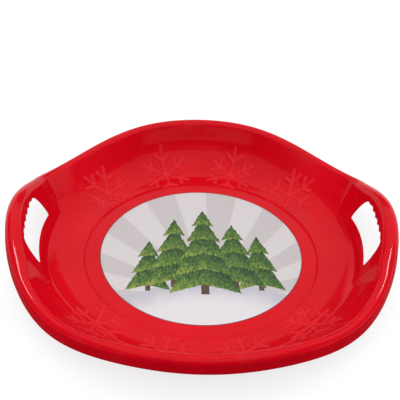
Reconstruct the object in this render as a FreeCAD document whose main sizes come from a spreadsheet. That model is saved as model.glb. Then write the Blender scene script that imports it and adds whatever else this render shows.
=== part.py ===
import FreeCAD, Part
import Sketcher
import math
import os

from FreeCAD import Placement, Rotation, Vector

# Saucer sled: one moulded dish with two grip bars, and a round label stuck in the middle.
# Frame: origin on the ground under the middle, +X through a grip bar, +Y to the back, +Z up.

doc = FreeCAD.newDocument("SaucerSled")
sheet = doc.addObject("Spreadsheet::Sheet", "sizes")

# Driving dimensions: millimetres, angles in degrees, counts and shares without a unit
sizeTable = (
    ("rim_diameter", 588.0, "dish front to back, over the rim"),
    ("handle_reach", 6.0, "how far each grip bar stands out past that circle"),
    ("handle_crest", 97.5, "height of the rim's top at a grip bar"),
    ("end_crest", 75.5, "height of the rim's top at the front and back"),
    ("dip_crest", 54.0, "height of the rim's top half way between"),
    ("peak_share", 0.52, "part of the handle's extra height that is in its narrow peak"),
    ("wall_thickness", 2.0, "moulded wall"),
    ("roll_radius", 10.0, "outside radius of the rolled rim"),
    ("bar_roll_radius", 13.5, "the same along a grip bar"),
    ("lip_drop", 13.0, "straight lip under the roll"),
    ("lip_flare", 6.0, "outward lean of the lip, degrees"),
    ("wall_run", 91.0, "from the rim's outside to where the floor starts to curve up"),
    ("bend_radius", 68.0, "curve between floor and wall"),
    ("bar_width", 30.0, "grip bar, from the slot to the rim's outside"),
    ("slot_width", 18.0, "grip slot across"),
    ("slot_length", 121.0, "grip slot along the rim"),
    ("slot_corner", 16.0, "outer corners of the slot"),
    ("slot_inner_corner", 3.0, "inner corners of the slot"),
    ("finger_pitch", 18.0, "from one finger groove to the next"),
    ("finger_depth", 1.6, "depth of a finger groove"),
    ("steep_foot", 9.5, "from the slot in to where the steep wall at a handle starts"),
    ("steep_margin", 4.0, "steep wall beyond the slot's ends, degrees"),
    ("steep_fade", 9.0, "in which the steep wall eases into the round one, degrees"),
    ("ring_clearance", 2.0, "the floor's underside clears the ground by this"),
    ("ring_width", 14.0, "flat ring that the sled rests and slides on"),
    ("valley_width", 21.0, "floor between the raised middle and the curve of the wall"),
    ("step_rise", 2.3, "raised middle above the floor round it"),
    ("step_run", 4.0, "slope at the edge of the raised middle"),
    ("label_margin", 22.0, "bare edge of the raised middle outside the label"),
    ("label_thickness", 0.3, "printed film"),
    ("flake_offset", 17.0, "centre of a snowflake outside the start of the curve"),
    ("flake_arm", 41.0, "snowflake, centre to tip"),
    ("flake_rib", 4.4, "width of a snowflake's ribs"),
    ("flake_height", 1.3, "height of those ribs"),
    ("flake_fork", 24.0, "centre to where the side ribs branch off"),
    ("flake_side", 15.0, "length of a side rib"),
    ("flake_side_angle", 55.0, "side rib to its arm, degrees"),
    ("flake_arms", 6, "arms of a snowflake"),
    ("cut_overrun", 20.0, "how far a cutting shape passes the part"),
)
for row, (name, value, note) in enumerate(sizeTable, start=1):
    sheet.set(f"A{row}", name)
    sheet.set(f"B{row}", str(value))
    sheet.set(f"C{row}", note)
    sheet.setAlias(f"B{row}", name)
doc.recompute()


def size(name):
    return float(sheet.get(name))


# Sizes that several pieces share, in the sheet's names
floorRadius = "(sizes.rim_diameter / 2 - sizes.wall_run)"
plateauRadius = f"({floorRadius} - sizes.valley_width)"
floorTop = "(sizes.ring_clearance + sizes.wall_thickness)"
plateauTop = f"({floorTop} + sizes.step_rise)"
slotOuter = "(sizes.rim_diameter / 2 + sizes.handle_reach - sizes.bar_width)"
slotInner = f"({slotOuter} - sizes.slot_width)"


def worth(expression):
    return float(sheet.evalExpression(expression))


# Angles in degrees: azimuths from +X of a quarter's sections and of its two snowflakes,
# and how far each snowflake is turned on its own middle
quarterTurn = 90
sectionStep = 3
sectionSpill = 6
flakeTurns = {45: 30, 75: 0}
bendLimitShare = 0.98
arcPullShare = 4 / 3
wallCurves = 3
rimCurves = 6


def ease(share):
    share = min(max(share, 0), 1)
    return share**3 * (10 - 15 * share + 6 * share**2)


# The rim rises to a narrow peak at each handle and to a lower, broad one at the front and back
def crestHeight(azimuth):
    turn = math.radians(azimuth)
    high = (size("handle_crest") + size("end_crest")) / 2
    tilt = (size("handle_crest") - size("end_crest")) / 2
    wave = (high - size("dip_crest")) / 2
    broad = tilt * (1 - size("peak_share")) * math.cos(2 * turn)
    narrow = tilt * size("peak_share") * math.cos(6 * turn)
    return size("dip_crest") + wave + wave * math.cos(4 * turn) + broad + narrow


# 1 along a grip slot, where the wall stands steep, and 0 along the front and back
def handleShare(azimuth):
    slotEnd = math.degrees(math.asin(size("slot_length") / 2 / worth(slotInner)))
    return 1 - ease((abs(azimuth) - slotEnd - size("steep_margin")) / size("steep_fade"))


# Floor, curve, straight wall, roll and lip at one azimuth, lifted off the dish's top face.
# The straight wall is the line that touches both the floor's curve and the roll. At a handle
# it starts lower on the curve, with a crease at its foot, and stands steeper than the curve.
def profileCurves(azimuth, lift):
    turn = math.radians(azimuth)
    flare = math.radians(size("lip_flare"))
    handle = handleShare(azimuth)
    roll = size("roll_radius") * (1 - handle) + size("bar_roll_radius") * handle
    lip = size("lip_drop")
    rimReach = size("rim_diameter") / 2 + size("handle_reach") * math.cos(turn) ** 2
    rollRadius = rimReach - lip * math.sin(flare) - roll * math.cos(flare)
    rollHeight = crestHeight(azimuth) - roll
    bendStart = worth(floorRadius)
    across = rollRadius - bendStart
    rise = rollHeight - worth(floorTop)
    widest = (across**2 + rise**2 - roll**2) / (rise + roll) / 2
    bend = min(size("bend_radius"), bendLimitShare * widest)
    drop = rise - bend
    roundEnd = math.atan2(drop, across) + math.asin((bend + roll) / math.hypot(across, drop))
    steepRun = worth(slotInner) - size("steep_foot") - bendStart
    steepEnd = min(math.asin(min(steepRun / bend, 1)), roundEnd)
    bendEnd = roundEnd * (1 - handle) + steepEnd * handle
    wallRun = across - bend * math.sin(bendEnd)
    wallRise = drop + bend * math.cos(bendEnd)
    slope = math.atan2(wallRise, wallRun) + math.asin(roll / math.hypot(wallRun, wallRise))
    rollEnd = flare - math.pi / 2

    def at(radius, height):
        return Vector(radius * math.cos(turn), radius * math.sin(turn), height)

    def onBend(angle):
        inner = bend - lift
        height = worth(floorTop) + bend - inner * math.cos(angle)
        return at(bendStart + inner * math.sin(angle), height)

    def onRoll(angle):
        outer = roll + lift
        return at(rollRadius - outer * math.sin(angle), rollHeight + outer * math.cos(angle))

    def bow(place, first, last, radius):
        pull = arcPullShare * math.tan(abs(last - first) / 4) * radius
        leave = at(math.cos(first), math.sin(first)) * pull
        arrive = at(math.cos(last), math.sin(last)) * pull
        curve = Part.BezierCurve()
        curve.setPoles([place(first), place(first) + leave, place(last) - arrive, place(last)])
        return curve

    start = at(worth(plateauRadius) + size("step_run") / 2, worth(floorTop) + lift)
    lipEnd = onRoll(rollEnd) + at(lip * math.sin(flare), -lip * math.cos(flare))
    return [
        Part.LineSegment(start, onBend(0)),
        bow(onBend, 0, bendEnd, bend - lift),
        Part.LineSegment(onBend(bendEnd), onRoll(slope)),
        bow(onRoll, slope, 0, roll + lift),
        bow(onRoll, 0, rollEnd, roll + lift),
        Part.LineSegment(onRoll(rollEnd), lipEnd),
    ]


# The ring over some azimuths, between two lifts, from its inner end over so many curves
def ringLoft(azimuths, upper, lower, curveCount):
    wires = []
    for azimuth in azimuths:
        top = profileCurves(azimuth, upper)[:curveCount]
        bottom = profileCurves(azimuth, lower)[:curveCount]
        outerEdge = Part.LineSegment(top[-1].EndPoint, bottom[-1].EndPoint)
        innerEdge = Part.LineSegment(bottom[0].StartPoint, top[0].StartPoint)
        curves = top + [outerEdge] + bottom[::-1] + [innerEdge]
        wires.append(Part.Wire(Part.__sortEdges__([curve.toShape() for curve in curves])))
    return Part.makeLoft(wires, True, False)


# A grip slot seen from above: round inner edge, straight ends, finger grooves along the bar
def slotFace():
    half = size("slot_length") / 2
    corner = size("slot_corner")
    innerCorner = size("slot_inner_corner")
    inner = worth(slotInner)
    outer = worth(slotOuter)
    innerTurn = math.asin((half - innerCorner) / (inner + innerCorner))
    outerTurn = math.asin((half - corner) / (outer - corner))
    pitchTurn = size("finger_pitch") / outer
    grooves = int(2 * outerTurn / pitchTurn)
    fingerEnd = grooves * pitchTurn / 2

    def at(radius, turn):
        return Vector(radius * math.cos(turn), radius * math.sin(turn), 0)

    def arc(radius, first, last, bulge=0):
        middle = at(radius + bulge, (first + last) / 2)
        return Part.Arc(at(radius, first), middle, at(radius, last))

    # A corner from the slot's straight end round to its inner or outer edge
    def cornerArc(edge, turn, radius, facing, side):
        centre = at(edge - radius * math.cos(facing), side * turn)
        across = side * (turn + facing + math.pi / 2) / 2
        endTop = centre + Vector(0, side * radius, 0)
        middle = centre + Vector(radius * math.cos(across), radius * math.sin(across), 0)
        return Part.Arc(endTop, middle, at(edge, side * turn))

    curves = [arc(inner, -innerTurn, innerTurn)]
    for side in (-1, 1):
        innerBow = cornerArc(inner, innerTurn, innerCorner, math.pi, side)
        outerBow = cornerArc(outer, outerTurn, corner, 0, side)
        curves.append(innerBow)
        curves.append(Part.LineSegment(innerBow.StartPoint, outerBow.StartPoint))
        curves.append(outerBow)
        curves.append(arc(outer, side * fingerEnd, side * outerTurn))
    for groove in range(grooves):
        first = groove * pitchTurn - fingerEnd
        curves.append(arc(outer, first, first + pitchTurn, size("finger_depth")))
    return Part.Face(Part.Wire(Part.__sortEdges__([curve.toShape() for curve in curves])))


# A closed sketch whose corners are set by expressions in the sheet's names
def cornerSketch(body, role, name, corners):
    sketch = body.newObject("Sketcher::SketchObject", name)
    attach(sketch, body, role)
    places = [Vector(worth(across), worth(up), 0) for across, up in corners]
    for index, place in enumerate(places):
        sketch.addGeometry(Part.LineSegment(places[index - 1], place), False)
    for index, (across, up) in enumerate(corners):
        following = (index + 1) % len(corners)
        sketch.addConstraint(Sketcher.Constraint("Coincident", index, 2, following, 1))
        bindPlace(sketch, index, "DistanceX", -2, across)
        bindPlace(sketch, index, "DistanceY", -1, up)
    return sketch


def attach(sketch, body, role):
    plane = [feature for feature in body.Origin.OriginFeatures if feature.Role == role][0]
    sketch.AttachmentSupport = (plane, "")
    sketch.MapMode = "FlatFace"


# The end of a line lies on an axis or at a distance from the sketch's origin
def bindPlace(sketch, line, kind, axis, expression):
    if expression == "0":
        sketch.addConstraint(Sketcher.Constraint("PointOnObject", line, 2, axis))
        return
    rule = Sketcher.Constraint(kind, -1, 1, line, 2, worth(expression))
    index = sketch.addConstraint(rule)
    sketch.setExpression(f"Constraints[{index}]", expression)


def boolean(kind, name, base, tool):
    result = doc.addObject(kind, name)
    result.Base = base
    result.Tool = tool
    return result


def mirrored(name, source, normal):
    copy = doc.addObject("Part::Mirroring", name)
    copy.Source = source
    copy.Normal = normal
    return copy


# Wall and rim: a quarter of the ring, cut square at its two ends
wallSweep = doc.addObject("Part::Feature", "wall_sweep")
quarter = range(-sectionSpill, quarterTurn + sectionSpill + 1, sectionStep)
wallSweep.Shape = ringLoft(quarter, 0, -size("wall_thickness"), rimCurves)

quarterBox = doc.addObject("Part::Box", "quarter_box")
quarterBox.setExpression("Length", "sizes.rim_diameter")
quarterBox.setExpression("Width", "sizes.rim_diameter")
quarterBox.setExpression("Height", "sizes.handle_crest + sizes.cut_overrun")

wallQuarter = boolean("Part::Common", "wall_quarter", wallSweep, quarterBox)

# Raised snowflakes: ribs drawn in plan, as high as a layer on the dish's top face
flake = doc.addObject("PartDesign::Body", "snowflake")
ribHalf = "(sizes.flake_rib / 2)"
sideTurn = "(sizes.flake_side_angle * 1 deg)"
sideTip = (f"(sizes.flake_fork + sizes.flake_side * cos{sideTurn})", f"(sizes.flake_side * sin{sideTurn})")
armSide = [
    ("0", ribHalf),
    (f"sizes.flake_fork - {ribHalf} * tan({sideTurn} / 2)", ribHalf),
    (f"{sideTip[0]} - {ribHalf} * sin{sideTurn}", f"{sideTip[1]} + {ribHalf} * cos{sideTurn}"),
    (f"{sideTip[0]} + {ribHalf} * sin{sideTurn}", f"{sideTip[1]} - {ribHalf} * cos{sideTurn}"),
    (f"sizes.flake_fork + {ribHalf} / tan({sideTurn} / 2)", ribHalf),
    ("sizes.flake_arm", ribHalf),
]
otherSide = [(along, f"-({across})") for along, across in reversed(armSide)]
armSketch = cornerSketch(flake, "XY_Plane", "arm_outline", armSide + otherSide)
armPad = flake.newObject("PartDesign::Pad", "arm")
armPad.Profile = armSketch
armPad.setExpression("Length", "sizes.handle_crest")
armRing = flake.newObject("PartDesign::PolarPattern", "arms")
armRing.Originals = [armPad]
armRing.Axis = (armSketch, ["N_Axis"])
armRing.Angle = 360
armRing.setExpression("Occurrences", "sizes.flake_arms")
flake.Tip = armRing
doc.recompute()

flakeRadius = worth(f"{floorRadius} + sizes.flake_offset")
flakeSpan = int(math.degrees(size("flake_arm") / flakeRadius)) + 2 * sectionStep
wallRaised = wallQuarter
for azimuth, spin in flakeTurns.items():
    outward = Rotation(Vector(0, 0, 1), azimuth)
    turned = Rotation(Vector(0, 0, 1), azimuth + spin)
    flakePrint = doc.addObject("Part::Feature", f"snowflake_print_{azimuth}")
    flakePrint.Shape = flake.Shape
    flakePrint.Placement = Placement(outward.multVec(Vector(flakeRadius, 0, 0)), turned)
    layer = doc.addObject("Part::Feature", f"snowflake_layer_{azimuth}")
    span = range(azimuth - flakeSpan, azimuth + flakeSpan + 1, sectionStep)
    layer.Shape = ringLoft(span, size("flake_height"), -size("wall_thickness") / 2, wallCurves)
    relief = boolean("Part::Common", f"snowflake_{azimuth}", flakePrint, layer)
    wallRaised = boolean("Part::Fuse", f"wall_raised_{azimuth}", wallRaised, relief)

# Grip slot, cut straight down as the mould parts
slotOutline = doc.addObject("Part::Feature", "slot_outline")
slotOutline.Shape = slotFace()
slotTool = doc.addObject("Part::Extrusion", "slot_tool")
slotTool.Base = slotOutline
slotTool.DirMode = "Custom"
slotTool.Dir = Vector(0, 0, 1)
slotTool.Solid = True
slotTool.setExpression("LengthFwd", "sizes.handle_crest + sizes.cut_overrun")
wallSlotted = boolean("Part::Cut", "wall_slotted", wallRaised, slotTool)

# The other three quarters
quarterTwin = mirrored("quarter_twin", wallSlotted, Vector(0, 1, 0))
halfRing = boolean("Part::Fuse", "half_ring", wallSlotted, quarterTwin)
halfTwin = mirrored("half_twin", halfRing, Vector(1, 0, 0))
wholeRing = boolean("Part::Fuse", "whole_ring", halfRing, halfTwin)

# Floor: raised middle for the label, hollow under it, and a flat ring to slide on
floorPlate = doc.addObject("PartDesign::Body", "floor_plate")
seam = "(sizes.ring_clearance + sizes.wall_thickness / 2)"
ringOuter = f"({plateauRadius} + sizes.ring_width)"
stepFoot = f"sizes.step_run * ({plateauTop} - {seam}) / sizes.step_rise"
floorCorners = [
    ("0", f"{plateauTop} - sizes.wall_thickness"),
    (f"{plateauRadius} - sizes.step_run", f"{plateauTop} - sizes.wall_thickness"),
    (plateauRadius, "0"),
    (ringOuter, "0"),
    (f"{ringOuter} + {seam}", seam),
    (f"{plateauRadius} + {stepFoot}", seam),
    (plateauRadius, plateauTop),
    ("0", plateauTop),
]
floorSketch = cornerSketch(floorPlate, "XZ_Plane", "floor_outline", floorCorners)
floorTurn = floorPlate.newObject("PartDesign::Revolution", "floor_turn")
floorTurn.Profile = floorSketch
floorTurn.ReferenceAxis = (floorSketch, ["V_Axis"])
floorTurn.Angle = 360
floorPlate.Tip = floorTurn

dish = boolean("Part::Fuse", "sled_dish", wholeRing, floorPlate)

# Printed label, flat on the raised middle
label = doc.addObject("PartDesign::Body", "centre_label")
labelSketch = label.newObject("Sketcher::SketchObject", "label_outline")
attach(labelSketch, label, "XY_Plane")
labelRadius = f"{plateauRadius} - sizes.label_margin"
labelSketch.addGeometry(Part.Circle(Vector(), Vector(0, 0, 1), worth(labelRadius)), False)
labelSketch.addConstraint(Sketcher.Constraint("Coincident", 0, 3, -1, 1))
labelSketch.addConstraint(Sketcher.Constraint("Radius", 0, worth(labelRadius)))
labelSketch.setExpression("Constraints[1]", labelRadius)
labelPad = label.newObject("PartDesign::Pad", "film")
labelPad.Profile = labelSketch
labelPad.setExpression("Length", "sizes.label_thickness")
label.setExpression("Placement.Base.z", plateauTop)

doc.recompute()

for item in doc.Objects:
    if "Invalid" in item.State or "Error" in item.State:
        raise RuntimeError(f"{item.Label} failed: {item.State}")

os.makedirs("parts", exist_ok=True)
for subPart in (dish, label):
    shape = subPart.Shape
    if shape.isNull() or not shape.isValid():
        raise RuntimeError(f"{subPart.Label} has no sound shape")
    print(subPart.Label, len(shape.Solids), "solid", round(shape.Volume), "mm3")
    shape.exportStep(f"parts/{subPart.Label}.step")
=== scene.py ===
import math

import bpy
import numpy as np
from mathutils import Matrix, Vector


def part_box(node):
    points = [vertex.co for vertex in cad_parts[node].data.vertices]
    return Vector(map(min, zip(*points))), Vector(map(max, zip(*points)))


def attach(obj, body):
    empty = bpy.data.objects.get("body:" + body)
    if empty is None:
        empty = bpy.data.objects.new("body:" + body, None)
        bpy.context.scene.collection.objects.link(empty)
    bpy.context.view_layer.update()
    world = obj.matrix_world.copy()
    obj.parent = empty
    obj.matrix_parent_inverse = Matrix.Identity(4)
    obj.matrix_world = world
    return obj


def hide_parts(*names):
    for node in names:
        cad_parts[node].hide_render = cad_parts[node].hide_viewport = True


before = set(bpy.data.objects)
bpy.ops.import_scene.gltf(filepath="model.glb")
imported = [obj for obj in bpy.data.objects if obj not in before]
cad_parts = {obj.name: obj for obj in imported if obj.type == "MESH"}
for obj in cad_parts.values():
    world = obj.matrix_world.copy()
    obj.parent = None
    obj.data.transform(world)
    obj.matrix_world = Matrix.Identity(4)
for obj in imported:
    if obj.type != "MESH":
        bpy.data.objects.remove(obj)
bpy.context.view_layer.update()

scene = bpy.context.scene
mm = 0.001
print("frame loaded:", sorted(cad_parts))

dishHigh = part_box("sled_dish")[1]
labelLow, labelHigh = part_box("centre_label")

# The dish, in millimetres: overall sizes from the frame, the rest as the part is drawn
dish = {
    "rimRadius": dishHigh.y / mm,
    "handleReach": (dishHigh.x - dishHigh.y) / mm,
    "handleCrest": dishHigh.z / mm,
    "endCrest": 75.5,
    "dipCrest": 54.0,
    "peakShare": 0.52,  # how much of the grips' extra height is a narrow peak
    "wall": 2.0,
    "roll": 10.0,
    "barRoll": 13.5,
    "lip": 13.0,
    "flare": math.radians(6),
    "floorRadius": 203.0,
    "bend": 68.0,
    "steepFoot": 9.5,  # from the slot in to where the grips' steep wall begins
    "steepSoft": 5.0,  # how far the crease there is rounded, each way
    "steepStart": 17.9,  # degrees from the grip's middle
    "steepEnd": 26.9,
    "floorTop": 4.0,
    "plateauRadius": 182.0,
    "plateauTop": labelLow.z / mm,
    "stepRun": 4.0,
    "stepSoft": 3.0,
    "ringWidth": 14.0,
    "ringSoft": 1.0,
    "hub": 1.0,  # radius of the innermost row of points
    "columns": 1200,
    "valleyRows": 13,
    "rows": {"bendRow": 50, "creaseRow": 8, "wallRow": 14, "rollRow": 20, "lipRow": 4},
    "lipEndSteps": 7,
}

slot = {
    "inner": 252.0,
    "outer": 269.0,
    "half": 60.5,
    "corner": 16.3,
    "straighten": 3.5,  # how much further out the bar's edge lies at the slot's ends
    "innerCorner": 3.0,
    "fingerPitch": 16.5,
    "fingerDepth": 1.0,
    "edgeRound": 0.9,
    "edgeSteps": 5,
    "reach": 17.5,  # degrees of the wall that the slot's own rings take up, each way
    "arcPoints": 100,
    "barPoints": 600,
}

flakes = {
    "radius": 220.0,
    "arm": 41.0,
    "ribHalf": 2.4,
    "soft": 1.8,
    "height": 1.3,
    "fork": 24.0,
    "side": 15.0,
    "sideAngle": math.radians(55),
    "turns": {45: 30, 75: 0},  # degrees from the grip: how far the flake is turned
}


def ease(share):
    share = np.clip(share, 0, 1)
    return share**3 * (10 - 15 * share + 6 * share**2)


def crestHeight(turn):
    high = (dish["handleCrest"] + dish["endCrest"]) / 2
    tilt = (dish["handleCrest"] - dish["endCrest"]) / 2
    wave = (high - dish["dipCrest"]) / 2
    broad = tilt * (1 - dish["peakShare"]) * np.cos(2 * turn)
    narrow = tilt * dish["peakShare"] * np.cos(6 * turn)
    return dish["dipCrest"] + wave + wave * np.cos(4 * turn) + broad + narrow


def offGrip(turn):
    return np.degrees(np.arcsin(np.clip(np.abs(np.sin(turn)), 0, 1)))


class Profile:
    # The dish's top face in section, at each of some azimuths
    def __init__(self, turn):
        d = dish
        grip = 1 - ease((offGrip(turn) - d["steepStart"]) / (d["steepEnd"] - d["steepStart"]))
        self.roll = d["roll"] * (1 - grip) + d["barRoll"] * grip
        reach = d["rimRadius"] + d["handleReach"] * np.cos(turn) ** 2
        self.rollRadius = reach - d["lip"] * math.sin(d["flare"]) - self.roll * math.cos(d["flare"])
        self.rollHeight = crestHeight(turn) - self.roll
        across = self.rollRadius - d["floorRadius"]
        drop = self.rollHeight - d["floorTop"] - d["bend"]
        roundEnd = np.arctan2(drop, across) + np.arcsin((d["bend"] + self.roll) / np.hypot(across, drop))
        steepEnd = math.asin((slot["inner"] - d["steepFoot"] - d["floorRadius"]) / d["bend"])
        self.bendEnd = roundEnd * (1 - grip) + steepEnd * grip
        run = across - d["bend"] * np.sin(self.bendEnd)
        rise = drop + d["bend"] * np.cos(self.bendEnd)
        self.slope = np.arctan2(rise, run) + np.arcsin(self.roll / np.hypot(run, rise))
        self.softTurn = d["steepSoft"] / d["bend"]

    def onBend(self, angle):
        bend = dish["bend"]
        return dish["floorRadius"] + bend * np.sin(angle), dish["floorTop"] + bend - bend * np.cos(angle)

    def onRoll(self, angle):
        return self.rollRadius - self.roll * np.sin(angle), self.rollHeight + self.roll * np.cos(angle)

    def bendRow(self, share):
        return self.onBend((self.bendEnd - self.softTurn) * share)

    def creaseRow(self, share):
        # from the curve to the straight wall, both met smoothly
        angle = self.bendEnd - self.softTurn
        start = np.array(self.onBend(angle))
        foot = np.array(self.onBend(self.bendEnd))
        leave = np.array([np.cos(angle), np.sin(angle)])
        climb = np.array([np.cos(self.slope), np.sin(self.slope)])
        gap = foot - start
        run = (gap[0] * climb[1] - gap[1] * climb[0]) / (leave[0] * climb[1] - leave[1] * climb[0])
        pull = start + leave * run
        end = foot + climb * dish["steepSoft"]
        return start * (1 - share) ** 2 + 2 * pull * share * (1 - share) + end * share**2

    def wallRow(self, share):
        foot, footHeight = self.creaseRow(1)
        head, headHeight = self.onRoll(self.slope)
        return foot + (head - foot) * share, footHeight + (headHeight - footHeight) * share

    def rollRow(self, share):
        rollEnd = dish["flare"] - math.pi / 2
        return self.onRoll(self.slope + (rollEnd - self.slope) * share)

    def lipRow(self, share):
        end, height = self.rollRow(1)
        run = dish["lip"] * share
        return end + run * math.sin(dish["flare"]), height - run * math.cos(dish["flare"])

    def heightAt(self, radius, lift):
        # of the straight wall, and of the roll above it
        foot, footHeight = self.onBend(self.bendEnd)
        wall = footHeight + (radius - foot) * np.tan(self.slope) + lift / np.cos(self.slope)
        outer, gone = self.roll + lift, self.rollRadius - radius
        bar = self.rollHeight + np.sqrt(np.maximum(outer**2 - gone**2, 0))
        return np.where(gone > outer * np.sin(self.slope), wall, bar)


def segmentDistance(x, y, startX, startY, endX, endY):
    runX, runY = endX - startX, endY - startY
    share = ((x - startX) * runX + (y - startY) * runY) / (runX**2 + runY**2)
    share = np.clip(share, 0, 1)
    return np.hypot(x - startX - share * runX, y - startY - share * runY)


def flakeLift(x, y):
    # how high the snowflakes' soft ribs stand at points of the plan
    x, y = np.abs(x), np.abs(y)
    f = flakes
    lift = np.zeros_like(x)
    for azimuth, spin in f["turns"].items():
        turn = math.radians(azimuth)
        ahead, aside = x - f["radius"] * math.cos(turn), y - f["radius"] * math.sin(turn)
        angle = np.arctan2(aside, ahead) - turn - math.radians(spin)
        away = np.hypot(ahead, aside)
        sector = math.pi / 3
        angle = np.abs(angle - sector * np.round(angle / sector))
        along, across = away * np.cos(angle), away * np.sin(angle)
        tipX = f["fork"] + f["side"] * math.cos(f["sideAngle"])
        tipY = f["side"] * math.sin(f["sideAngle"])
        gap = np.minimum(
            segmentDistance(along, across, 0, 0, f["arm"], 0),
            segmentDistance(along, across, f["fork"], 0, tipX, tipY),
        )
        lift = np.maximum(lift, f["height"] * ease((f["ribHalf"] + f["soft"] / 2 - gap) / f["soft"]))
    clear = dish["plateauRadius"] + dish["stepRun"]
    return lift * ease((np.hypot(x, y) - clear) / flakes["soft"])


def softened(corners, soft, steps=5):
    # a line through corners, each one rounded
    points = [np.array(corners[0])]
    for before, corner, after in zip(corners, corners[1:], corners[2:]):
        before, corner, after = np.array(before), np.array(corner), np.array(after)
        first = corner + (before - corner) * min(0.5, soft / np.linalg.norm(before - corner))
        last = corner + (after - corner) * min(0.5, soft / np.linalg.norm(after - corner))
        shares = np.linspace(0, 1, steps + 1)[1 if np.allclose(first, points[-1]) else 0:]
        for share in shares:
            points.append(first * (1 - share) ** 2 + 2 * corner * share * (1 - share) + last * share**2)
    return points + [np.array(corners[-1])]


def slotContour(counts):
    # Points round a slot in plan, as many on each side as given: inner edge, back end, bar, front end
    s = slot
    innerTurn = math.asin((s["half"] - s["innerCorner"]) / (s["inner"] + s["innerCorner"]))
    outerTurn = math.asin((s["half"] - s["corner"]) / (s["outer"] - s["corner"]))
    grooves = int(2 * outerTurn * s["outer"] / s["fingerPitch"])
    fingerEnd = grooves * s["fingerPitch"] / s["outer"] / 2

    def arc(ring, turn, radius, first, last):
        turns = np.linspace(first, last, s["arcPoints"])
        across = ring * math.cos(turn) + radius * np.cos(turns)
        return np.column_stack([across, ring * math.sin(turn) + radius * np.sin(turns)])

    def innerBow(first, last):
        return arc(s["inner"] + s["innerCorner"], innerTurn, s["innerCorner"], first, last)

    def outerBow(first, last):
        return arc(s["outer"] - s["corner"], outerTurn, s["corner"], first, last)

    def mirrored(points):
        return points[::-1] * (1, -1)

    def spread(points, count):
        # the same line with evenly spaced points
        run = np.concatenate([[0], np.cumsum(np.hypot(*np.diff(points, axis=0).T))])
        wanted = np.linspace(0, run[-1], count + 1)[:-1]
        return np.column_stack([np.interp(wanted, run, points[:, k]) for k in (0, 1)])

    turns = np.linspace(outerTurn, -outerTurn, s["barPoints"])
    wave = np.abs(np.sin(math.pi * (turns + fingerEnd) * s["outer"] / s["fingerPitch"]))
    radii = s["outer"] + s["fingerDepth"] * np.where(np.abs(turns) < fingerEnd, wave, 0)
    bar = np.column_stack([radii * np.cos(turns), radii * np.sin(turns)])

    innerMiddle = (innerTurn + 1.5 * math.pi) / 2
    outerMiddle = (outerTurn + 0.5 * math.pi) / 2
    corner = innerBow(innerTurn + math.pi, innerMiddle)
    inner = [mirrored(corner), arc(0, 0, s["inner"], -innerTurn, innerTurn), corner]
    backEnd = [innerBow(innerMiddle, math.pi / 2), outerBow(math.pi / 2, outerMiddle)]
    corner = outerBow(outerMiddle, outerTurn)
    head = [corner, bar, mirrored(corner)]
    frontEnd = [mirrored(np.concatenate(backEnd))]
    sides = [np.concatenate(side) for side in (inner, backEnd, head, frontEnd)]
    outline = np.concatenate([spread(side, count) for side, count in zip(sides, counts)])
    # the bar's edge is straighter than the rim
    away = np.hypot(*outline.T)
    share = np.maximum(away - s["inner"], 0) / (s["outer"] - s["inner"])
    stretch = 1 + s["straighten"] * share * (outline[:, 1] / s["half"]) ** 2 / away
    return outline * stretch[:, None]


class Sheet:
    # Collects points and faces of the dish
    def __init__(self):
        self.points = []
        self.faces = []
        self.count = 0

    def add(self, x, y, z):
        block = np.column_stack([x, y, z])
        first = self.count
        self.points.append(block)
        self.count += len(block)
        return np.arange(first, self.count)

    def strip(self, rowA, rowB, skip=None):
        # faces between two closed rows of as many points, rowB to the left of rowA
        nextA, nextB = np.roll(rowA, -1), np.roll(rowB, -1)
        quads = np.column_stack([rowA, rowB, nextB, nextA])
        self.faces.extend(quads.tolist() if skip is None else quads[~skip].tolist())


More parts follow.
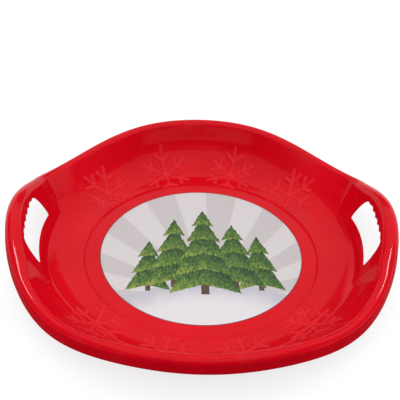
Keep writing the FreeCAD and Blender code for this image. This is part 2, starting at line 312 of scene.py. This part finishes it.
def buildDish():
    d = dish
    turns = np.arange(d["columns"]) / d["columns"] * 2 * math.pi
    section = Profile(turns)
    cosines, sines = np.cos(turns), np.sin(turns)
    sheet = Sheet()

    # rows of the top face from the middle out, before the snowflakes are raised
    stepEnd = d["plateauRadius"] + d["stepRun"]
    floorLine = [(d["hub"], d["plateauTop"]), (d["plateauRadius"], d["plateauTop"])]
    floorLine += [(stepEnd, d["floorTop"]), (d["floorRadius"], d["floorTop"])]
    line = softened(floorLine, d["stepSoft"])
    valley = line.pop()
    shares = np.linspace(0, 1, d["valleyRows"] + 1)[1:]
    line += [line[-1] + (valley - line[-1]) * share for share in shares]
    rows = [(radius + 0 * turns, height + 0 * turns) for radius, height in line]
    firstRow = {}
    for kind, count in d["rows"].items():
        firstRow[kind] = len(rows)
        rows += [getattr(section, kind)(share) for share in np.linspace(0, 1, count + 1)[1:]]
    radius, height = np.array([row[0] for row in rows]), np.array([row[1] for row in rows])
    along, up = np.gradient(radius, axis=0), np.gradient(height, axis=0)
    length = np.hypot(along, up)
    along, up = along / length, up / length

    def laid(index, lift, on=0):
        r = radius[index] - up[index] * lift + along[index] * on
        return sheet.add(r * cosines, r * sines, height[index] + along[index] * lift + up[index] * on)

    lift = flakeLift(radius * cosines, radius * sines)
    lift[firstRow["rollRow"]:] = 0
    top = [laid(index, lift[index]) for index in range(len(rows))]
    # the lip's end is half round
    half = d["wall"] / 2
    angles = np.linspace(0, math.pi, d["lipEndSteps"] + 1)[1:-1]
    end = [laid(-1, half * (math.cos(a) - 1), half * math.sin(a)) for a in angles]
    start = firstRow["bendRow"] - 1
    under = [laid(index, -d["wall"]) for index in range(start, len(rows))]
    # the floor's underside with the ring that the sled runs on
    low, hollow = d["floorTop"] - d["wall"], d["plateauTop"] - d["wall"]
    ringOuter = d["plateauRadius"] + d["ringWidth"]
    groundLine = [(d["floorRadius"], low), (ringOuter + low, low), (ringOuter, 0), (d["plateauRadius"], 0)]
    groundLine += [(d["plateauRadius"] - d["stepRun"], hollow), (d["hub"], hollow)]
    ground = softened(groundLine, d["ringSoft"])[1:]
    floor = [sheet.add(r * cosines, r * sines, z + 0 * turns) for r, z in ground]

    off = np.degrees(np.minimum(turns, 2 * math.pi - turns))
    masks = [off < slot["reach"], off > 180 - slot["reach"]]
    holed = np.logical_or.reduce([mask & np.roll(mask, -1) for mask in masks])
    # the slots' rings take up the wall from its second row to the roll's fifth
    first, last = firstRow["wallRow"] + 1, firstRow["rollRow"] + 4
    for index in range(len(rows) - 1):
        sheet.strip(top[index], top[index + 1], holed if first <= index < last else None)
        if index >= start:
            pair = under[index + 1 - start], under[index - start]
            sheet.strip(*pair, holed if first <= index < last else None)
    lipRows = [top[-1]] + end + [under[-1]]
    groundRows = [under[0]] + floor
    for group in (lipRows, groundRows):
        for rowA, rowB in zip(group, group[1:]):
            sheet.strip(rowA, rowB)
    hub = sheet.add([0], [0], [d["plateauTop"]])[0]
    nadir = sheet.add([0], [0], [hollow])[0]
    for k in range(len(turns)):
        n = (k + 1) % len(turns)
        sheet.faces.append([hub, top[0][k], top[0][n]])
        sheet.faces.append([nadir, floor[-1][n], floor[-1][k]])

    # rings of points round each slot, from the wall's top face through the slot to its underside
    places = np.concatenate(sheet.points)
    for side, mask in enumerate(masks):
        columns = np.nonzero(mask)[0]
        if side == 0:
            columns = np.roll(columns, np.count_nonzero(columns > len(turns) / 2))

        def border(grid):
            loop = [grid[0][c] for c in columns[:-1]]
            loop += [line[columns[-1]] for line in grid[:-1]]
            loop += [grid[-1][c] for c in columns[:0:-1]]
            loop += [line[columns[0]] for line in grid[:0:-1]]
            return np.array(loop)

        contour = slotContour([len(columns) - 1, last - first] * 2) * (1 - 2 * side)
        ahead = np.roll(contour, -1, axis=0) - np.roll(contour, 1, axis=0)
        ahead /= np.hypot(*ahead.T)[:, None]
        outward = np.column_stack([-ahead[:, 1], ahead[:, 0]])
        rounding = slot["edgeRound"]
        edgePoints = slot["edgeSteps"] + 1

        def ring(plan, lift, sink):
            around = Profile(np.arctan2(plan[:, 1], plan[:, 0]))
            return sheet.add(plan[:, 0], plan[:, 1], around.heightAt(np.hypot(*plan.T), lift) - sink)

        def between(loop, lift, shares):
            edge = places[loop][:, :2]
            return [ring(edge + (contour + outward * rounding - edge) * share, lift, 0) for share in shares]

        upper, lower = border(top[first:last + 1]), border(under[first - start:last + 1 - start])
        inward = (0.25, 0.5, 0.75)
        loops = [upper] + between(upper, 0, inward + (1.0,))
        for angle in np.linspace(0, math.pi / 2, edgePoints)[1:]:
            plan = contour + outward * rounding * (1 - math.sin(angle))
            loops.append(ring(plan, 0, rounding * (1 - math.cos(angle))))
        for angle in np.linspace(math.pi / 2, 0, edgePoints):
            plan = contour + outward * rounding * (1 - math.sin(angle))
            loops.append(ring(plan, -d["wall"], -rounding * (1 - math.cos(angle))))
        loops += between(lower, -d["wall"], inward[::-1]) + [lower]
        for outer, inner in zip(loops, loops[1:]):
            sheet.strip(outer, inner)

    mesh = bpy.data.meshes.new("dish_shell")
    mesh.from_pydata((np.concatenate(sheet.points) * mm).tolist(), [], sheet.faces)
    mesh.polygons.foreach_set("use_smooth", [True] * len(mesh.polygons))
    mesh.update()
    # the snowflakes' ribs are marked for their satin finish and their painted sheen; the top rows come
    # first in the mesh
    ribs = np.zeros(sheet.count)
    ribs[:lift.size] = np.clip(lift.ravel() / flakes["height"], 0, 1)
    mesh.attributes.new("rib", "FLOAT", "POINT").data.foreach_set("value", ribs)
    shell = bpy.data.objects.new("dish_shell", mesh)
    scene.collection.objects.link(shell)
    return shell


def srgb(red, green, blue):
    # screen values 0 to 255 as linear light
    shares = [value / 255 for value in (red, green, blue)]
    return tuple(s / 12.92 if s <= 0.04045 else ((s + 0.055) / 1.055) ** 2.4 for s in shares) + (1,)


def newMaterial(name):
    material = bpy.data.materials.new(name)
    material.use_nodes = True
    tree = material.node_tree
    return material, tree, tree.nodes["Principled BSDF"]


def wire(tree, kind, inputs=None, **settings):
    # a node with its settings, and its inputs set or linked
    node = tree.nodes.new(kind)
    for key, value in settings.items():
        setattr(node, key, value)
    for key, value in (inputs or {}).items():
        if isinstance(value, bpy.types.NodeSocket):
            tree.links.new(value, node.inputs[key])
        else:
            node.inputs[key].default_value = value
    return node


def maths(tree, operation, *values):
    return wire(tree, "ShaderNodeMath", dict(enumerate(values)), operation=operation).outputs[0]


def fade(tree, value, low, high, atLow=0.0, atHigh=1.0):
    limits = {"Value": value, "From Min": low, "From Max": high, "To Min": atLow, "To Max": atHigh}
    return wire(tree, "ShaderNodeMapRange", limits, interpolation_type="SMOOTHSTEP").outputs["Result"]


def noise(tree, place, scale, detail=2.0):
    return wire(tree, "ShaderNodeTexNoise", {"Vector": place, "Scale": scale, "Detail": detail}).outputs[0]


def painted(tree, share, under, over):
    # one colour over another
    return wire(tree, "ShaderNodeMix", {0: share, 6: under, 7: over}, data_type="RGBA").outputs[2]


def axes(tree, vector):
    return wire(tree, "ShaderNodeSeparateXYZ", {"Vector": vector}).outputs


def newGroup(name, inputs, outputs):
    tree = bpy.data.node_groups.new(name, "ShaderNodeTree")
    for label in inputs:
        kind = "NodeSocketVector" if label == "Place" else "NodeSocketFloat"
        tree.interface.new_socket(name=label, in_out="INPUT", socket_type=kind)
    for label in outputs:
        tree.interface.new_socket(name=label, in_out="OUTPUT", socket_type="NodeSocketFloat")
    return tree, wire(tree, "NodeGroupInput").outputs, wire(tree, "NodeGroupOutput").inputs


def placed(tree, group, inputs):
    return wire(tree, "ShaderNodeGroup", inputs, node_tree=group).outputs


def planLength(tree, vector):
    # of a vector laid flat on the ground
    flat = wire(tree, "ShaderNodeVectorMath", {0: vector, 1: (1, 1, 0)}, operation="MULTIPLY").outputs[0]
    return wire(tree, "ShaderNodeVectorMath", {0: flat}, operation="LENGTH").outputs["Value"]


def setFinish(tree, shader, colour, dull, grain, depth, gloss):
    bump = wire(tree, "ShaderNodeBump", {"Strength": 1.0, "Distance": depth, "Height": grain})
    tree.links.new(colour, shader.inputs["Base Color"])
    tree.links.new(dull, shader.inputs["Roughness"])
    tree.links.new(bump.outputs[0], shader.inputs["Normal"])
    shader.inputs["Specular IOR Level"].default_value = gloss


grainLook = {"fineScale": 9.0, "fineShare": 0.12}  # the fine grain against the ripple


def mouldedGrain():
    # slow ripple with a fine grain on it
    tree, given, made = newGroup("moulded_grain", ["Place", "Scale"], ["Height"])
    ripple = noise(tree, given["Place"], given["Scale"], 1.0)
    fine = noise(tree, given["Place"], maths(tree, "MULTIPLY", given["Scale"], grainLook["fineScale"]))
    tree.links.new(maths(tree, "MULTIPLY_ADD", fine, grainLook["fineShare"], ripple), made["Height"])
    return tree


scuffLook = {
    "turns": (25, -50),
    "drawnOut": (1, 0.06, 1),
    "width": 0.012,
    "patchScale": 0.12,
    "patchSoft": 0.1,
}


def wornScuffs():
    # thin scratches in two directions, in patches
    look = scuffLook
    tree, given, made = newGroup("worn_scuffs", ["Place", "Scale", "Cover"], ["Mask"])
    marks = 0.0
    for turn in look["turns"]:
        rotation = (0, 0, math.radians(turn))
        lie = {"Vector": given["Place"], "Rotation": rotation, "Scale": look["drawnOut"]}
        drawn = wire(tree, "ShaderNodeMapping", lie).outputs[0]
        streaks = noise(tree, drawn, given["Scale"], 3.0)
        gap = maths(tree, "ABSOLUTE", maths(tree, "SUBTRACT", streaks, 0.5))
        marks = maths(tree, "MAXIMUM", fade(tree, gap, look["width"], 0.0), marks)
    patches = noise(tree, given["Place"], maths(tree, "MULTIPLY", given["Scale"], look["patchScale"]), 1.0)
    bare = maths(tree, "SUBTRACT", 1.0, given["Cover"])
    patches = fade(tree, maths(tree, "SUBTRACT", patches, bare), -look["patchSoft"], look["patchSoft"])
    tree.links.new(maths(tree, "MULTIPLY", marks, patches), made["Mask"])
    return tree


dustLook = {
    "veilScale": 22.0,
    "speckScale": 700.0,
    "specks": (0.7, 0.78),
    "speckShare": 0.8,
    "lying": (0.75, 1.0),  # how far up a face looks, from bare to dusty
}


def settledDust():
    # a thin veil and a few specks on what faces up
    look = dustLook
    tree, given, made = newGroup("settled_dust", ["Place", "Facing", "Amount"], ["Mask"])
    veil = noise(tree, given["Place"], look["veilScale"], 4.0)
    specks = fade(tree, noise(tree, given["Place"], look["speckScale"], 0.0), *look["specks"])
    lying = fade(tree, given["Facing"], *look["lying"])
    both = maths(tree, "MULTIPLY", maths(tree, "MULTIPLY_ADD", specks, look["speckShare"], veil), lying)
    tree.links.new(maths(tree, "MULTIPLY", both, given["Amount"]), made["Mask"])
    return tree


firLook = {
    "hang": (1, 0.35, 1),  # needles hang, so their noise is drawn out upwards
    "needleScale": 520.0,
    "boughScale": 130.0,
    "droop": 0.22,
    "needleEdge": 0.05,
    "boughEdge": 0.07,
    "trunkHalf": 0.055,
    "trunkFoot": -0.12,
    "trunkHead": 0.1,
    "light": 0.72,  # at the foot of a tier; the next four change it
    "tierShade": -0.42,
    "sideShade": -0.35,
    "needleShade": 1.5,
    "boughShade": 0.5,
}


def firTree():
    # a fir in tiers, standing up the label: its outline, its trunk, and how light its needles are
    look = firLook
    tree, given, made = newGroup(
        "fir_tree", ["Place", "Middle", "Foot", "Width", "Height", "Tiers"], ["Mask", "Trunk", "Shade"]
    )
    x, y, _ = axes(tree, given["Place"])
    aside = maths(tree, "DIVIDE", maths(tree, "SUBTRACT", x, given["Middle"]), given["Width"])
    climb = maths(tree, "DIVIDE", maths(tree, "SUBTRACT", y, given["Foot"]), given["Height"])
    drawn = wire(tree, "ShaderNodeMapping", {"Vector": given["Place"], "Scale": look["hang"]}).outputs[0]
    needles = noise(tree, drawn, look["needleScale"], 3.0)
    boughs = noise(tree, given["Place"], look["boughScale"])
    droop = maths(tree, "MULTIPLY_ADD", maths(tree, "ABSOLUTE", aside), look["droop"], climb)
    rough = maths(tree, "MULTIPLY_ADD", maths(tree, "SUBTRACT", needles, 0.5), look["needleEdge"], droop)
    level = maths(tree, "MULTIPLY", rough, given["Tiers"])
    inTier, tier = maths(tree, "FRACT", level), maths(tree, "FLOOR", level)
    drawnIn = maths(tree, "MULTIPLY_ADD", inTier, 2.0, tier)
    taper = maths(tree, "DIVIDE", drawnIn, maths(tree, "ADD", given["Tiers"], 1.0))
    half = maths(tree, "MULTIPLY", maths(tree, "SUBTRACT", 1.0, taper), 0.5)
    half = maths(tree, "MULTIPLY_ADD", maths(tree, "SUBTRACT", boughs, 0.5), look["boughEdge"], half)
    reach = maths(tree, "ABSOLUTE", aside)
    within = maths(tree, "LESS_THAN", reach, half)
    mask = maths(tree, "MULTIPLY", within, maths(tree, "GREATER_THAN", rough, 0.0))
    tree.links.new(maths(tree, "MULTIPLY", mask, maths(tree, "LESS_THAN", rough, 1.0)), made["Mask"])
    within = maths(tree, "LESS_THAN", reach, look["trunkHalf"])
    stem = maths(tree, "MULTIPLY", within, maths(tree, "GREATER_THAN", climb, look["trunkFoot"]))
    below = maths(tree, "LESS_THAN", climb, look["trunkHead"])
    tree.links.new(maths(tree, "MULTIPLY", stem, below), made["Trunk"])
    light = maths(tree, "MULTIPLY_ADD", inTier, look["tierShade"], look["light"])
    light = maths(tree, "MULTIPLY_ADD", aside, look["sideShade"], light)
    light = maths(tree, "MULTIPLY_ADD", maths(tree, "SUBTRACT", needles, 0.5), look["needleShade"], light)
    light = maths(tree, "MULTIPLY_ADD", maths(tree, "SUBTRACT", boughs, 0.5), look["boughShade"], light)
    tree.links.new(light, made["Shade"])
    return tree


grainGroup, scuffGroup, dustGroup = mouldedGrain(), wornScuffs(), settledDust()
print("shared effects ready")

# Red moulded plastic
plasticLook = {
    "red": srgb(213, 4, 25),
    "redDeep": srgb(205, 3, 23),  # where the melt flowed thinner
    "scuffed": srgb(228, 92, 96),
    "dust": srgb(206, 190, 184),
    # gloss and roughness; the outside isn't polished
    "finishes": {"moulded_plastic": (0.11, 0.09), "moulded_plastic_outside": (0.02, 0.5)},
    "flowScale": 14.0,
    "flow": (0.3, 0.7),
    "flowDull": 0.03,
    "grainScale": 260.0,
    "grainDepth": 0.00001,
    "scuffScale": 220.0,
    "scuffPale": 0.35,
    "scuffDull": 0.2,
    "wallScuffs": 0.34,  # the running ring is scratched, the rest hardly
    "ringScuffs": 0.62,
    "ringTop": 0.002,
    "dustAmount": 0.003,
    "dustDull": 1.2,
    "ribSatin": 0.3,  # the snowflakes are duller than the wall, and painted a little paler as a sheen
    # painted sheen on the ribs: its red, and how much of it
    "ribSheenRed": srgb(226, 44, 54),
    "ribSheenShare": 0.45,
}


def mouldedPlastic(name, gloss, roughness):
    look = plasticLook
    material, tree, shader = newMaterial(name)
    place = wire(tree, "ShaderNodeTexCoord").outputs["Object"]
    height = axes(tree, place)[2]
    facing = axes(tree, wire(tree, "ShaderNodeNewGeometry").outputs["Normal"])[2]
    flow = fade(tree, noise(tree, place, look["flowScale"], 3.0), *look["flow"])
    grain = placed(tree, grainGroup, {"Place": place, "Scale": look["grainScale"]})["Height"]
    cover = fade(tree, height, look["ringTop"], 0.0, look["wallScuffs"], look["ringScuffs"])
    worn = {"Place": place, "Scale": look["scuffScale"], "Cover": cover}
    scuffs = placed(tree, scuffGroup, worn)["Mask"]
    lying = {"Place": place, "Facing": facing, "Amount": look["dustAmount"]}
    dust = placed(tree, dustGroup, lying)["Mask"]
    colour = painted(tree, flow, look["red"], look["redDeep"])
    colour = painted(tree, maths(tree, "MULTIPLY", scuffs, look["scuffPale"]), colour, look["scuffed"])
    colour = painted(tree, dust, colour, look["dust"])
    dull = maths(tree, "MULTIPLY_ADD", flow, look["flowDull"], roughness)
    dull = maths(tree, "MULTIPLY_ADD", scuffs, look["scuffDull"], dull)
    dull = maths(tree, "MULTIPLY_ADD", dust, look["dustDull"], dull)
    ribs = wire(tree, "ShaderNodeAttribute", attribute_name="rib").outputs["Fac"]
    dull = maths(tree, "MULTIPLY_ADD", ribs, look["ribSatin"], dull)
    # painted sheen: the ribs are made a paler red
    colour = painted(tree, maths(tree, "MULTIPLY", ribs, look["ribSheenShare"]), colour, look["ribSheenRed"])
    setFinish(tree, shader, colour, dull, grain, look["grainDepth"], gloss)
    return material


# The label's print: firs on a snowy rise, before pale rays
labelLook = {
    "white": srgb(209, 205, 206),
    "ray": srgb(194, 189, 190),
    "rayCount": 15,
    "rayPoint": (0.012, -0.1),
    "raySoft": 0.12,
    "snow": srgb(219, 217, 220),
    "snowShade": srgb(186, 187, 196),
    "rise": {
        "middle": (0.01, -0.31),
        "radius": 0.244,
        "edge": (0.007, 0.005),  # beyond that radius, as the next is
        "shade": (-0.03, 0.018),
        "bumpScale": 30.0,
        "bumps": 0.012,
        "driftScale": 45.0,
        "drifts": 0.03,
    },
    "needles": [
        (0.0, srgb(20, 42, 24)),
        (0.4, srgb(46, 84, 38)),
        (0.75, srgb(96, 128, 48)),
        (1.0, srgb(150, 160, 72)),
    ],
    "bark": srgb(84, 62, 46),
    # a painted shadow line at the label's edge: its width, softness and colour
    "border": 0.0011,
    "borderSoft": 0.0001,
    "edgeShadow": srgb(78, 16, 30),
    "film": srgb(176, 168, 168),
    "cutEdge": (0.7, 0.3),  # how far up a face looks, from print to bare film
    "dust": srgb(190, 180, 176),
    "dustAmount": 0.03,
    "scuffScale": 260.0,
    "scuffCover": 0.36,
    "scuffPale": 0.12,
    "scuffDull": 0.12,
    "grainScale": 160.0,
    "grainDepth": 0.00002,
    "roughness": 0.42,
    "unevenScale": 60.0,
    "uneven": 0.06,
    "gloss": 0.3,
    "firs": [
        {"Middle": -0.083, "Foot": -0.075, "Width": 0.070, "Height": 0.104, "Tiers": 3},
        {"Middle": 0.090, "Foot": -0.072, "Width": 0.074, "Height": 0.114, "Tiers": 3},
        {"Middle": -0.043, "Foot": -0.062, "Width": 0.092, "Height": 0.146, "Tiers": 4},
        {"Middle": 0.051, "Foot": -0.065, "Width": 0.094, "Height": 0.136, "Tiers": 4},
        {"Middle": 0.004, "Foot": -0.073, "Width": 0.112, "Height": 0.182, "Tiers": 5},
    ],
}


def printedLabel():
    look = labelLook
    material, tree, shader = newMaterial("printed_label")
    place = wire(tree, "ShaderNodeTexCoord").outputs["Object"]
    x, y, _ = axes(tree, place)
    facing = axes(tree, wire(tree, "ShaderNodeNewGeometry").outputs["Normal"])[2]
    fromX, fromY = (maths(tree, "SUBTRACT", value, at) for value, at in zip((x, y), look["rayPoint"]))
    angle = maths(tree, "ARCTAN2", fromX, fromY)
    wave = maths(tree, "SINE", maths(tree, "MULTIPLY", angle, float(look["rayCount"])))
    striped = fade(tree, wave, -look["raySoft"], look["raySoft"])
    colour = painted(tree, striped, look["white"], look["ray"])

    rise = look["rise"]
    away = wire(tree, "ShaderNodeVectorMath", {0: place, 1: rise["middle"] + (0,)}, operation="SUBTRACT")
    reach = planLength(tree, away.outputs[0])
    reach = maths(tree, "MULTIPLY_ADD", noise(tree, place, rise["bumpScale"]), rise["bumps"], reach)
    drift = maths(tree, "MULTIPLY_ADD", noise(tree, place, rise["driftScale"], 3.0), rise["drifts"], reach)
    shaded = fade(tree, drift, *(rise["radius"] + beyond for beyond in rise["shade"]))
    snow = painted(tree, shaded, look["snow"], look["snowShade"])
    covered = fade(tree, reach, *(rise["radius"] + beyond for beyond in rise["edge"]))
    colour = painted(tree, covered, colour, snow)

    firGroup = firTree()
    for fir in look["firs"]:
        drawn = placed(tree, firGroup, {"Place": place} | fir)
        green = wire(tree, "ShaderNodeValToRGB", {"Fac": drawn["Shade"]})
        ramp = green.color_ramp.elements
        while len(ramp) < len(look["needles"]):
            ramp.new(0.5)
        for stop, (position, shade) in zip(ramp, look["needles"]):
            stop.position, stop.color = position, shade
        colour = painted(tree, drawn["Trunk"], colour, look["bark"])
        colour = painted(tree, drawn["Mask"], colour, green.outputs[0])

    worn = {"Place": place, "Scale": look["scuffScale"], "Cover": look["scuffCover"]}
    scuffs = placed(tree, scuffGroup, worn)["Mask"]
    lying = {"Place": place, "Facing": facing, "Amount": look["dustAmount"]}
    dust = placed(tree, dustGroup, lying)["Mask"]
    grain = placed(tree, grainGroup, {"Place": place, "Scale": look["grainScale"]})["Height"]
    colour = painted(tree, maths(tree, "MULTIPLY", scuffs, look["scuffPale"]), colour, look["film"])
    colour = painted(tree, dust, colour, look["dust"])
    # a thin painted shadow round the label's edge, and the film's cut edge
    radius = planLength(tree, place)
    border = labelHigh.x - look["border"]
    shadowed = fade(tree, radius, border - look["borderSoft"], border + look["borderSoft"])
    colour = painted(tree, shadowed, colour, look["edgeShadow"])
    colour = painted(tree, fade(tree, facing, *look["cutEdge"]), colour, look["film"])
    uneven = noise(tree, place, look["unevenScale"])
    dull = maths(tree, "MULTIPLY_ADD", uneven, look["uneven"], look["roughness"])
    dull = maths(tree, "MULTIPLY_ADD", scuffs, look["scuffDull"], dull)
    setFinish(tree, shader, colour, dull, grain, look["grainDepth"], look["gloss"])
    return material


# faces of the outside: the lip's, at least so many degrees from level, and what looks down
outside = {"lipSteep": 60, "down": -0.2}


def markOutside(mesh):
    # they take the second finish
    normals, middles = (np.zeros(len(mesh.polygons) * 3) for _ in range(2))
    mesh.polygons.foreach_get("normal", normals)
    mesh.polygons.foreach_get("center", middles)
    normals, middles = normals.reshape(-1, 3), middles.reshape(-1, 3)
    radius = np.maximum(np.hypot(middles[:, 0], middles[:, 1]), mm)
    outward = (normals[:, :2] * middles[:, :2]).sum(axis=1) / radius
    lip = (outward > math.sin(math.radians(outside["lipSteep"]))) & (radius > slot["outer"] * mm)
    under = normals[:, 2] < outside["down"]
    mesh.polygons.foreach_set("material_index", (lip | under).astype(np.int32))


shell = buildDish()
print("dish built:", len(shell.data.polygons), "faces")
for name, (gloss, roughness) in plasticLook["finishes"].items():
    shell.data.materials.append(mouldedPlastic(name, gloss, roughness))
markOutside(shell.data)
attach(shell, "root")
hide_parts("sled_dish")
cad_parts["centre_label"].data.materials.clear()
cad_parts["centre_label"].data.materials.append(printedLabel())
print("finishes on the two pieces")

# Studio
studio = {"floor": 6.0, "grey": srgb(140, 140, 140), "roughness": 0.9, "glow": 0.76}


def seenRays(tree):
    # what is seen straight, mirrored or through glass
    rays = wire(tree, "ShaderNodeLightPath").outputs
    seen = maths(tree, "MAXIMUM", rays["Is Camera Ray"], rays["Is Glossy Ray"])
    return maths(tree, "MAXIMUM", seen, rays["Is Transmission Ray"])


def studioFloor():
    half = studio["floor"] / 2
    corners = [(-half, -half, 0), (half, -half, 0), (half, half, 0), (-half, half, 0)]
    mesh = bpy.data.meshes.new("studio_floor")
    mesh.from_pydata(corners, [], [(0, 1, 2, 3)])
    floor = bpy.data.objects.new("studio_floor", mesh)
    scene.collection.objects.link(floor)
    material, tree, shader = newMaterial("studio_floor")
    shader.inputs["Base Color"].default_value = studio["grey"]
    shader.inputs["Roughness"].default_value = studio["roughness"]
    shader.inputs["Specular IOR Level"].default_value = 0
    shader.inputs["Emission Color"].default_value = (1, 1, 1, 1)
    glow = maths(tree, "MULTIPLY", seenRays(tree), studio["glow"])
    tree.links.new(glow, shader.inputs["Emission Strength"])
    mesh.materials.append(material)


def hung(lamp, place, aim):
    holder = bpy.data.objects.new(lamp.name, lamp)
    holder.location = place
    holder.rotation_euler = aim.to_track_quat("-Z", "Y").to_euler()
    holder.visible_camera = False
    scene.collection.objects.link(holder)
    return holder


# soft lamps on three sides fill the walls, and aren't mirrored in them
fill = {
    "size": 1.6,
    "away": 2.4,
    # azimuth, height, watts
    "sides": {"front": (-90, 2.2, 26.0), "left": (180, 0.5, 18.0), "right": (0, 0.5, 18.0)},
}


def fillLamp(side, azimuth, rise, power):
    lamp = bpy.data.lights.new("fill_" + side, "AREA")
    lamp.size = fill["size"]
    lamp.energy = power
    turn = math.radians(azimuth)
    place = Vector((math.cos(turn) * fill["away"], math.sin(turn) * fill["away"], rise))
    hung(lamp, place, -place).visible_glossy = False


# a small lamp with a grid over each grip bar, for the thin streak along its crest
strip = {
    "aim": (0.268, -0.106, 0.071),
    "away": (0.14, 0.052, 0.372),
    "width": 0.13,
    "length": 0.085,
    "spread": 16,
    "power": 0.017,
}


def gripLamp(name, side):
    lamp = bpy.data.lights.new(name, "AREA")
    lamp.shape = "RECTANGLE"
    lamp.size = strip["length"]  # along the bar
    lamp.size_y = strip["width"]  # across it
    lamp.spread = math.radians(strip["spread"])
    lamp.energy = strip["power"]
    aim, away = (Vector(strip[key]) * Vector((side, 1, 1)) for key in ("aim", "away"))
    hung(lamp, aim + away, -away).visible_diffuse = False


# a soft room, dark toward the horizon, under one wide light panel that reaches further back than forward
air = {
    "room": 0.5,
    "roomFall": 1.6,
    "panel": 0.9,
    "aside": 0.9,
    "front": 1.0,
    "back": 1.48,
    "soft": 0.05,
    "lowest": 0.001,  # keeps the panel's edges finite at the horizon
    "horizon": 0.19,
    "horizonSoft": 0.05,
    # two windows behind: degrees to the right of straight back, degrees up, half width, strength
    "windows": [(52, 27, 21, 0.9), (-30, 17, 15, 0.9)],
    "windowSoft": 2,
}


def studioAir():
    sky = bpy.data.worlds.new("studio_air")
    sky.use_nodes = True
    tree = sky.node_tree
    toward = wire(tree, "ShaderNodeTexCoord").outputs["Generated"]
    x, y, z = axes(tree, toward)
    up = maths(tree, "MAXIMUM", z, air["lowest"])
    across = maths(tree, "ABSOLUTE", maths(tree, "DIVIDE", x, up))
    along = maths(tree, "DIVIDE", y, up)
    soft = air["soft"]
    inside = fade(tree, across, air["aside"] + soft, air["aside"] - soft)
    inside = maths(tree, "MULTIPLY", inside, fade(tree, along, -air["front"] - soft, -air["front"] + soft))
    inside = maths(tree, "MULTIPLY", inside, fade(tree, along, air["back"] + soft, air["back"] - soft))
    light = maths(tree, "MULTIPLY", inside, air["panel"])
    for azimuth, rise, half, strength in air["windows"]:
        turn, climb = math.radians(azimuth), math.radians(rise)
        aim = (math.sin(turn) * math.cos(climb), math.cos(turn) * math.cos(climb), math.sin(climb))
        near = wire(tree, "ShaderNodeVectorMath", {0: toward, 1: aim}, operation="DOT_PRODUCT")
        edges = (math.cos(math.radians(half + grow)) for grow in (air["windowSoft"], -air["windowSoft"]))
        lit = fade(tree, near.outputs["Value"], *edges, 0.0, strength)
        light = maths(tree, "MAXIMUM", light, lit)
    room = maths(tree, "MULTIPLY", maths(tree, "POWER", up, air["roomFall"]), air["room"])
    strength = maths(tree, "ADD", light, room)
    # white behind the floor's edge
    seen = seenRays(tree)
    low = fade(tree, z, air["horizon"] + air["horizonSoft"], air["horizon"])
    horizon = maths(tree, "MULTIPLY", low, seen)
    strength = maths(tree, "MAXIMUM", strength, horizon)
    background = tree.nodes["Background"]
    background.inputs["Color"].default_value = (1, 1, 1, 1)
    tree.links.new(strength, background.inputs["Strength"])
    scene.world = sky


studioFloor()
studioAir()
for side, settings in fill["sides"].items():
    fillLamp(side, *settings)
gripLamp("right_grip_lamp", 1)
gripLamp("left_grip_lamp", -1)
print("studio lit")

# Camera at the photograph's viewing angle, its axis through the middle of the picture
shot = {
    "place": (-0.0573, -1.06544, 0.9296),
    "yaw": -2.789,
    "down": 37.448,
    "roll": 2.325,
    "focalShare": 886.73 / 400,  # focal length over the picture's width
    "sensor": 36,
    "near": 0.01,
    "far": 50,
}


def sledCamera():
    data = bpy.data.cameras.new("camera")
    data.sensor_width = shot["sensor"]
    data.lens = shot["sensor"] * shot["focalShare"]
    data.clip_start = shot["near"]
    data.clip_end = shot["far"]
    camera = bpy.data.objects.new("camera", data)
    turn = Matrix.Rotation(math.radians(shot["yaw"]), 4, "Z")
    tilt = Matrix.Rotation(math.radians(90 - shot["down"]), 4, "X")
    roll = Matrix.Rotation(math.radians(shot["roll"]), 4, "Z")
    camera.matrix_world = Matrix.Translation(shot["place"]) @ turn @ tilt @ roll
    scene.collection.objects.link(camera)
    scene.camera = camera


sledCamera()
scene.view_settings.view_transform = "Standard"
print("camera set")
